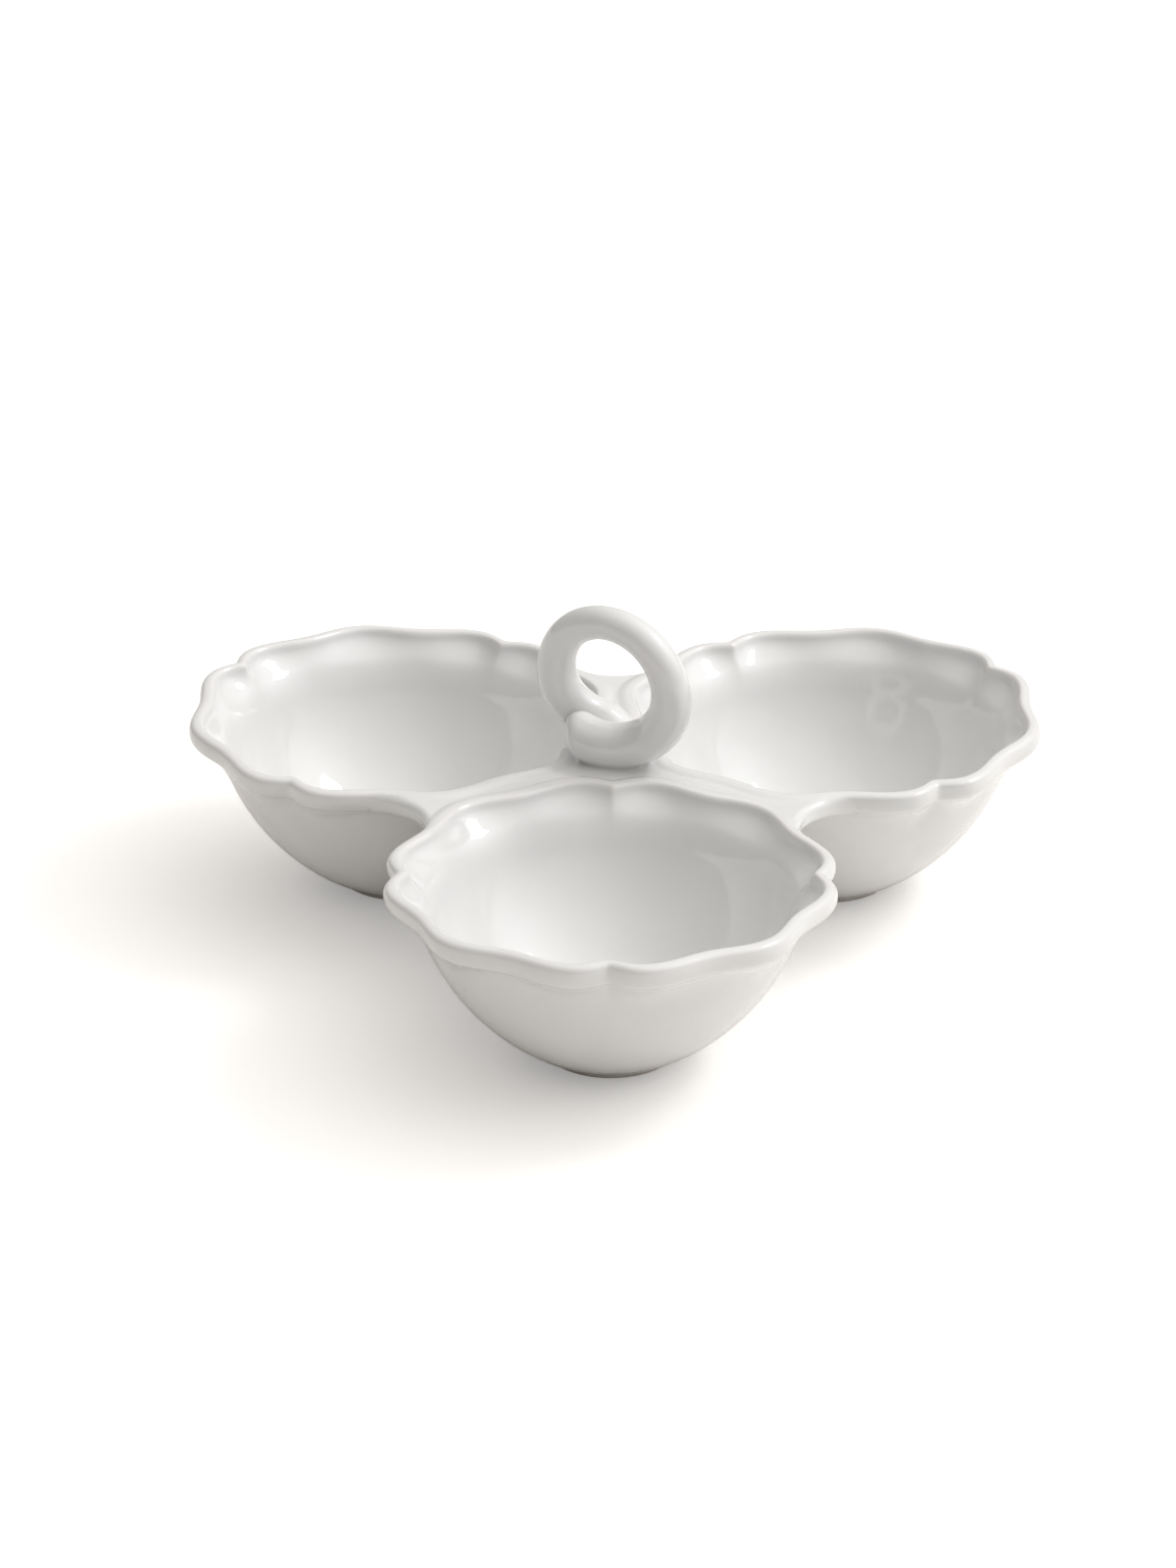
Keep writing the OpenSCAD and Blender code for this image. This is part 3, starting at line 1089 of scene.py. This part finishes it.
    def build(self, skin: SharedSkin) -> bpy.types.Object:
        """Build the bowl's mesh.

        Args:
            skin: The skin that the bowl shares with the web.

        Returns:
            The closed bowl.
        """
        turn = self.turns()
        lip = self.lip_radius(turn)
        outside = self.outside(lip)
        profile = np.concatenate([outside, self.inside(lip)], axis=1)
        height = profile[..., 1] + self.rise(turn[:, None], profile[..., 1])
        around = np.radians(turn + self.place.value)[:, None]
        out = profile[..., 0]
        grid = self.trefoil.turned(self.place, out, height, around)
        axis = self.trefoil.axis(self.place)
        poles = [[*axis, profile[0, 0, 1]], [*axis, self.floor_z]]
        points = np.concatenate([grid.reshape(-1, 3), poles])
        columns, rows = out.shape
        faces = grid_faces(columns, rows, turned=True, closed=False)
        faces += fan(out.size, range(0, out.size, rows)[::-1])
        faces += fan(out.size + 1, range(rows - 1, out.size, rows))
        outer = np.arange(len(points)) % rows < outside.shape[1]
        shared = self.faces_middle(points) & outer & (points[:, 2] > self.floor_z)
        name = self.place.node("bowl_skin")
        return make_piece(name, points, faces, lambda at, own: skin.smoothed(at, own, shared))


@dataclass
class Foot:
    """Low turned ring under a bowl, rounded where it stands. Sizes are in millimetres."""

    place: Place
    trefoil: Trefoil
    outer_r: float = 25.0
    width: float = 4.4
    flare: float = 1.2
    height: float = 2.6
    sunk: float = 0.3
    rounding: float = 0.7
    corner_steps: int = 6
    columns: int = 180

    def profile(self) -> Array:
        """Closed section of the ring.

        Returns:
            Points of shape (rows, 2), counter-clockwise.
        """
        inner = self.outer_r - self.width
        top = self.height + self.sunk
        corners = np.array(
            [[inner, 0.0], [self.outer_r, 0.0], [self.outer_r + self.flare, top], [inner - self.flare, top]]
        )
        rows = []
        for number, corner in enumerate(corners):
            before = corners[number - 1] - corner
            after = corners[(number + 1) % len(corners)] - corner
            start = corner + before / np.linalg.norm(before) * self.rounding
            end = corner + after / np.linalg.norm(after) * self.rounding
            rows.append(bend(start[None], corner[None], end[None], self.corner_steps)[0])
        return np.concatenate(rows)

    def build(self) -> bpy.types.Object:
        """Build the ring's mesh.

        Returns:
            The closed ring.
        """
        out, height = self.profile().T
        around = np.arange(self.columns)[:, None] * 2.0 * math.pi / self.columns
        points = self.trefoil.turned(self.place, out, height, around).reshape(-1, 3)
        faces = grid_faces(self.columns, len(out), turned=True, closed=True)
        return make_piece(self.place.node("foot_ring"), points, faces)


@dataclass
class Web(SharedSkin):
    """Bridge at rim level that joins the bowls. Its skin runs into their lips.

    Sizes are in millimetres.

    Attributes:
        edge_out: Distance from the middle to the centres of the arcs that cut its free edges.
        tuck: How far its flat slab stays outside the lips' middle lines.
        reach: Radius within which it lies.
        blend: Fillet to the bowls; blend_end is the fillet at the free edges' ends.
        sink: How deep it dips under the bowls' skins; sink_run is the length in which it does.
        margin: Room that is left round it for its net.
    """

    trefoil: Trefoil
    bowls: list[Bowl]
    top: float = 71.3
    bottom: float = 63.4
    edge_out: float = 107.2
    edge_r: float = 22.64
    rounding: float = 3.2
    tuck: float = 1.3
    reach: float = 97.0
    blend: float = 3.0
    blend_end: float = 0.3
    blend_run: float = 14.0
    sink: float = 2.0
    sink_run: float = 1.6
    margin: float = 4.0

    def slab(self, points: Array) -> Array:
        """Distance to the flat web itself.

        Args:
            points: The points to measure.

        Returns:
            Signed distances to the slab, whose free edges are rounded.
        """
        local = points[:, :2] - self.trefoil.middle
        sides = [np.hypot(local[:, 0], local[:, 1]) - self.reach]
        for bowl in self.bowls:
            away = local - self.trefoil.arm(bowl.place) * self.edge_out
            sides.append(self.edge_r - np.hypot(away[:, 0], away[:, 1]))
            sides.append(bowl.inward(points, self.tuck))
        flat = np.max(sides, axis=0) + self.rounding
        middle, half = (self.top + self.bottom) / 2, (self.top - self.bottom) / 2
        level = np.abs(points[:, 2] - middle) - half + self.rounding
        outside = np.hypot(np.maximum(flat, 0.0), np.maximum(level, 0.0))
        return outside + np.minimum(np.maximum(flat, level), 0.0) - self.rounding

    def distance(self, points: Array) -> Array:
        """Signed distance to the skin that the web and the bowls share."""
        skins = [bowl.distance(points) for bowl in self.bowls]
        return self.run_into(skins, points, self.fillet(points))

    def top_skin(self, points: Array) -> Array:
        """Signed distance to the upper skin: the web run into the lips."""
        skins = [bowl.lip_distance(points) for bowl in self.bowls]
        return self.run_into(skins, points, self.blend)

    def run_into(self, skins: Iterable[Array], points: Array, reach: Array | float) -> Array:
        """Run the slab into other skins.

        Args:
            skins: Distances of the points to those skins.
            points: The points to measure.
            reach: Size of the fillets.

        Returns:
            Signed distances to the joined skin.
        """
        total = self.slab(points)
        for skin in skins:
            total = soft_min(total, skin, reach)
        return total

    def fillet(self, points: Array) -> Array:
        """Size of the fillet to the bowls, which runs out where the free edges meet the lips."""
        out = np.hypot(*(points[:, :2] - self.trefoil.middle).T)
        return self.blend_end + (self.blend - self.blend_end) * ease((self.reach - out) / self.blend_run)

    def lead(self, points: Array) -> Array:
        """How much nearer a bowl is than the web itself."""
        return self.slab(points) - np.min([bowl.distance(points) for bowl in self.bowls], axis=0)

    def dip(self, points: Array) -> Array:
        """How far the web lies under the bowls' skin, once it has run into it."""
        past = np.maximum(self.lead(points) - self.fillet(points), 0.0) / self.sink_run
        inside = np.max([bowl.inward(points) for bowl in self.bowls], axis=0)
        return self.sink * (past**2 + np.maximum(inside, 0.0) ** 2)

    def build(self) -> bpy.types.Object:
        """Build the web's mesh.

        Returns:
            The closed web, which dips under the bowls' skins.
        """
        centre, room = self.trefoil.middle, self.reach + self.margin
        low = [*(centre - room), self.bottom - self.margin]
        return self.piece("web_skin", low, [*(centre + room), self.top + self.margin])


@dataclass
class RingHandle(Form):
    """Rolled coil bent into a ring, with its ends lapped at the base.

    Sizes are in millimetres and turns in degrees, which run round the ring from its right side.

    Attributes:
        coil_swell: How much the coil is thicker at the base than at the middle, and thinner at the top.
        tail_press: How far the tail is pressed down past the coil's lower side.
        slant: How much further the start reaches on its inner side; slant_turn is where that ends.
        lap: Sideways distance of the lapped ends, which they take up over lap_turn and tail_turn.
        behind_turn: Where the tail lies fully behind; from there it is tucked in by a share.
        thin_from: Where the tail starts to thin to tail_r, which it has at thin_to.
        start_dome: Turn in which the start is rounded; tail_dome is for the tail.
        end_gather: How closely the columns gather at the ends; end_rate is how soon.
    """

    trefoil: Trefoil
    ring_r: float = 25.2
    ring_z: float = 104.712
    yaw: float = 30.0
    lean: float = 6.0
    coil_mid_r: float = 7.65
    coil_swell: float = 1.25
    tail_r: float = 5.5
    tail_press: float = 0.6
    slant: float = 8.0
    slant_turn: float = 30.0
    lap: float = 13.3
    start_turn: float = -119.0
    end_turn: float = 306.0
    lap_turn: float = 75.0
    behind_turn: float = 262.0
    tail_turn: float = 75.0
    tuck_in: float = 0.5
    thin_from: float = 246.0
    thin_to: float = 300.0
    start_dome: float = 11.0
    tail_dome: float = 18.0
    lap_blend: float = 0.9
    end_gather: float = 0.35
    end_rate: float = 40.0
    end_gap: float = 0.02
    columns: int = 300
    sides: int = 56
    side: Array = field(init=False)
    up: Array = field(init=False)
    through: Array = field(init=False)
    centre: Array = field(init=False)

    def __post_init__(self) -> None:
        """Work out the directions of the ring."""
        yaw, lean = math.radians(self.yaw), math.radians(self.lean)
        front = np.array([-math.sin(yaw), -math.cos(yaw), 0.0])
        rise = np.array([0.0, 0.0, 1.0])
        self.side = np.array([math.cos(yaw), -math.sin(yaw), 0.0])
        self.up = math.cos(lean) * rise + math.sin(lean) * front
        self.through = math.cos(lean) * front - math.sin(lean) * rise
        self.centre = np.array([*self.trefoil.middle, self.ring_z])

    def shift(self, turn: Array) -> Array:
        """Sideways place of the coil's middle line.

        Args:
            turn: Angles round the ring.

        Returns:
            The places: forward at the start, and back at the tail.
        """
        start = 1.0 - ease((turn - self.start_turn) / self.lap_turn)
        tail = ease((turn - self.behind_turn) / self.tail_turn + 1.0)
        tucked = self.tuck_in * ease((turn - self.behind_turn) / (self.end_turn - self.behind_turn))
        return self.lap / 2 * (start - tail * (1.0 - tucked))

    def full(self, turn: Array) -> Array:
        """Radius of the coil before it is thinned and rounded off."""
        return self.coil_mid_r - self.coil_swell * np.sin(np.radians(turn))

    def thinned(self, turn: Array) -> Array:
        """How much thinner the tail is than the coil."""
        return (self.full(turn) - self.tail_r) * self.tapered(turn)

    def tapered(self, turn: Array) -> Array:
        """How far the tail has tapered, from 0 to 1."""
        return ease((turn - self.thin_from) / (self.thin_to - self.thin_from))

    def radius(self, turn: Array) -> Array:
        """Radius of the coil.

        Args:
            turn: Angles round the ring.

        Returns:
            The radius, with a thin tail and rounded ends.
        """
        start = dome((turn - self.start_turn) / self.start_dome)
        end = dome((self.end_turn - turn) / self.tail_dome)
        return (self.full(turn) - self.thinned(turn)) * (start * end)

    def spoke(self, turn: Array) -> Array:
        """Direction from the ring's middle, at an angle round the ring."""
        angle = np.radians(turn)[..., None]
        return np.cos(angle) * self.side + np.sin(angle) * self.up

    def line(self, turn: Array) -> Array:
        """Points of the coil's middle line."""
        reach = self.ring_r + self.thinned(turn) + self.tail_press * self.tapered(turn)
        return self.centre + reach[..., None] * self.spoke(turn) + self.shift(turn)[..., None] * self.through

    def distance(self, points: Array) -> Array:
        """Signed distance to the coil.

        Args:
            points: The points to measure.

        Returns:
            Distances to the coil, whose lapped ends are joined by the glaze.
        """
        local = points - self.centre
        turn = np.degrees(np.arctan2(local @ self.up, local @ self.side))
        apart = (self.start_turn + self.end_turn) / 2
        start = np.maximum(np.where(turn > apart, turn - 360.0, turn), self.start_turn)
        tail = np.minimum(np.where(turn < apart, turn + 360.0, turn), self.end_turn)
        near = [np.linalg.norm(points - self.line(t), axis=1) - self.radius(t) for t in (start, tail)]
        return soft_min(near[0], near[1], self.lap_blend)

    def build(self, skin: "HandleSeat") -> bpy.types.Object:
        """Build the coil's mesh.

        Args:
            skin: The skin that the coil shares with its seat.

        Returns:
            The closed coil.
        """
        share = np.linspace(0.0, 1.0, self.columns + 2)[1:-1]
        even = self.start_turn + (self.end_turn - self.start_turn) * share
        ends = np.exp(-share * self.end_rate) - np.exp(-(1.0 - share) * self.end_rate)
        gathered = even - self.start_dome * self.end_gather * ends
        turn = np.clip(gathered, self.start_turn + self.end_gap, self.end_turn - self.end_gap)
        around = np.arange(self.sides) * 2.0 * math.pi / self.sides
        spoke = self.spoke(turn)[:, None]
        ring = np.cos(around)[None, :, None] * spoke + np.sin(around)[None, :, None] * self.through
        tube = self.line(turn)[:, None] + self.radius(turn)[:, None, None] * ring
        inward = (1.0 - np.cos(around)[None, :]) / 2
        back = self.slant * inward * (1.0 - ease((turn - self.start_turn) / self.slant_turn))[:, None]
        tube = tube + back[..., None] * self.spoke(turn - 90.0)[:, None]
        poles = self.line(np.array([self.start_turn, self.end_turn]))
        poles[0] += self.slant / 2 * self.spoke(np.array(self.start_turn - 90.0))
        points = np.concatenate([tube.reshape(-1, 3), poles])
        shared = skin.blending(points) & (points[:, 2] < self.ring_z - self.ring_r)
        faces = grid_faces(self.columns, self.sides, turned=False, closed=True)
        count = self.columns * self.sides
        faces += fan(count, range(self.sides)) + fan(count + 1, range(count - self.sides, count)[::-1])
        return make_piece("ring_handle_coil", points, faces, lambda at, own: skin.smoothed(at, own, shared))


@dataclass
class HandleSeat(SharedSkin):
    """Wad of clay that lutes the ring down on the web: a fillet between the two.

    Sizes are in millimetres. It lies in a box from a depth under the web to a height above it.
    """

    web: Web
    ring: RingHandle
    blend: float = 2.4
    sink: float = 0.9
    sink_run: float = 3.0
    room: float = 26.0
    height: float = 15.0
    depth: float = 2.0

    def distance(self, points: Array) -> Array:
        """Signed distance to the skin that the web and the coil share."""
        return soft_min(self.web.top_skin(points), self.ring.distance(points), self.blend)

    def lead(self, points: Array) -> Array:
        """How much nearer one of the two is than the other."""
        return np.abs(self.web.top_skin(points) - self.ring.distance(points))

    def dip(self, points: Array) -> Array:
        """How far the fillet lies under the web's and the coil's skin, past its ends."""
        past = np.maximum(self.lead(points) - self.blend, 0.0) / self.sink_run
        return self.sink * past**2

    def blending(self, points: Array) -> Array:
        """True in the fillet between the web and the coil."""
        return self.lead(points) < self.blend

    def build(self) -> bpy.types.Object:
        """Build the fillet's mesh.

        Returns:
            The fillet, which dips under the web's and the coil's skins.
        """
        centre = self.web.trefoil.middle
        low = [*(centre - self.room), self.web.bottom - self.depth]
        return self.piece("handle_seat_fillet", low, [*(centre + self.room), self.web.top + self.height])


def direction(azimuth: float, elevation: float) -> Vector:
    """Direction towards a viewer: azimuth 0 is the front, 90 the right; elevation is above the horizon."""
    turn, lift = math.radians(azimuth), math.radians(elevation)
    return Vector((math.sin(turn) * math.cos(lift), -math.cos(turn) * math.cos(lift), math.sin(lift)))


def point_at(
    looker: bpy.types.Object, aim: Vector, azimuth: float, elevation: float, distance: float
) -> None:
    """Place a lamp or a camera so that it faces a point.

    Args:
        looker: The lamp or the camera.
        aim: The point that it faces.
        azimuth: Its turn round the point, in degrees.
        elevation: Its height above the horizon, in degrees.
        distance: Its distance from the point.
    """
    away = direction(azimuth, elevation)
    looker.location = aim + away * distance
    looker.rotation_euler = away.to_track_quat("Z", "Y").to_euler()


@dataclass(frozen=True)
class Lamp:
    """Soft rectangular lamp. Sizes are in metres, and turns in degrees round the object."""

    name: str
    azimuth: float
    elevation: float
    distance: float
    width: float
    height: float
    power: float
    colour: tuple[float, float, float] = (1.0, 1.0, 1.0)

    def hang(self, aim: Vector) -> None:
        """Hang the lamp.

        Args:
            aim: The point that it faces.
        """
        data = bpy.data.lights.new(self.name, "AREA")
        data.shape = "RECTANGLE"
        data.size, data.size_y = self.width, self.height
        data.energy = self.power
        data.color = self.colour
        point_at(add_object(self.name, data), aim, self.azimuth, self.elevation, self.distance)


@dataclass(frozen=True)
class Glow:
    """Soft light from one side of the room, in degrees; its tightness is the power of its cosine."""

    azimuth: float
    elevation: float
    tightness: float
    strength: float
    colour: tuple[float, float, float] = (1.0, 0.975, 0.95)


@dataclass(frozen=True)
class RoomLight:
    """Light of a pale room, with no edges that the glaze would show."""

    ambient: tuple[float, float, float] = (0.126, 0.123, 0.1195)
    glows: tuple[Glow, ...] = (
        Glow(95.0, 40.0, 10.0, 1.46, (0.955, 0.98, 1.0)),
        Glow(80.0, 46.0, 3.0, 0.6),
        Glow(0.0, 89.0, 3.0, 0.88),
        Glow(165.0, 32.0, 2.0, 0.45),
    )

    def world(self) -> bpy.types.World:
        """Make the world.

        Returns:
            The room's light, which shows white to the camera.
        """
        shader = Shader(bpy.data.worlds.new("room"))
        toward = shader.node("ShaderNodeTexCoord", output="Generated")
        total: Any = self.ambient
        for glow in self.glows:
            middle = direction(glow.azimuth, glow.elevation)
            facing = shader.vector("DOT_PRODUCT", {0: toward, 1: middle}, "Value").at_least(0.0)
            level = facing**glow.tightness * glow.strength
            light = shader.vector("SCALE", {0: glow.colour, "Scale": level})
            total = shader.vector("ADD", {0: light, 1: total})
        seen = shader.node("ShaderNodeLightPath", output="Is Camera Ray")
        shown = shader.mix(seen, total, (1.0, 1.0, 1.0, 1.0))
        return shader.end(shader.node("ShaderNodeBackground", None, {"Color": shown}))


@dataclass(frozen=True)
class Studio:
    """Table, light and camera. Sizes are in metres."""

    aim: Vector
    image_h: float = 1600.0
    focal_px: float = 4992.7
    sensor: float = 36.0
    distance: float = 1.8724
    azimuth: float = 0.611
    elevation: float = 24.857
    right_px: float = 26.08
    up_px: float = 14.76
    table_size: float = 12.0
    room: RoomLight = RoomLight()
    window: Lamp = Lamp("right_window", 104.0, 47.0, 1.6, 0.42, 0.34, 5.0)

    def set_up(self) -> None:
        """Set up the table, the lamps, the world and the camera."""
        self.lay_table()
        self.window.hang(self.aim)
        bpy.context.scene.world = self.room.world()
        self.place_camera()
        bpy.context.scene.view_settings.view_transform = "Standard"

    def lay_table(self) -> None:
        """Lay the pale table at the height of the feet."""
        half = self.table_size / 2
        mesh = bpy.data.meshes.new("table")
        corners = [(-half, -half, 0.0), (half, -half, 0.0), (half, half, 0.0), (-half, half, 0.0)]
        mesh.from_pydata(corners, [], [(0, 1, 2, 3)])
        mesh.materials.append(FloorFinish().material())
        table = add_object("table", mesh)

    def place_camera(self) -> None:
        """Place the camera at the viewing angle and shift the frame."""
        data = bpy.data.cameras.new("camera")
        data.sensor_width = self.sensor
        data.lens = self.focal_px / self.image_h * self.sensor
        data.shift_x = -self.right_px / self.image_h
        data.shift_y = -self.up_px / self.image_h
        camera = add_object("camera", data)
        point_at(camera, self.aim, self.azimuth, self.elevation, self.distance)
        bpy.context.scene.camera = camera


def main() -> None:
    """Build the pieces in order, dress them and set up the studio."""
    logging.basicConfig(level=logging.INFO, format="%(message)s")
    trefoil = Trefoil.from_frame()
    glaze = GlazeFinish()
    glaze_material = glaze.material()
    foot_material = FootFinish(glaze).material()
    bowls = [Bowl(place, trefoil) for place in Place]
    web = Web(trefoil, bowls)
    ring = RingHandle(trefoil)
    seat = HandleSeat(web, ring)
    for bowl in bowls:
        dress(bowl.build(web), bowl.place.node("bowl"), glaze_material)
        foot = Foot(bowl.place, trefoil)
        dress(foot.build(), bowl.place.node("foot"), foot_material)
    dress(web.build(), "web", glaze_material)
    dress(seat.build(), "handle_seat", glaze_material)
    dress(ring.build(seat), "ring_handle", glaze_material)
    Studio(Vector((*(trefoil.middle * MM), bowls[0].lip_z * MM))).set_up()


if __name__ == "__main__":
    main()
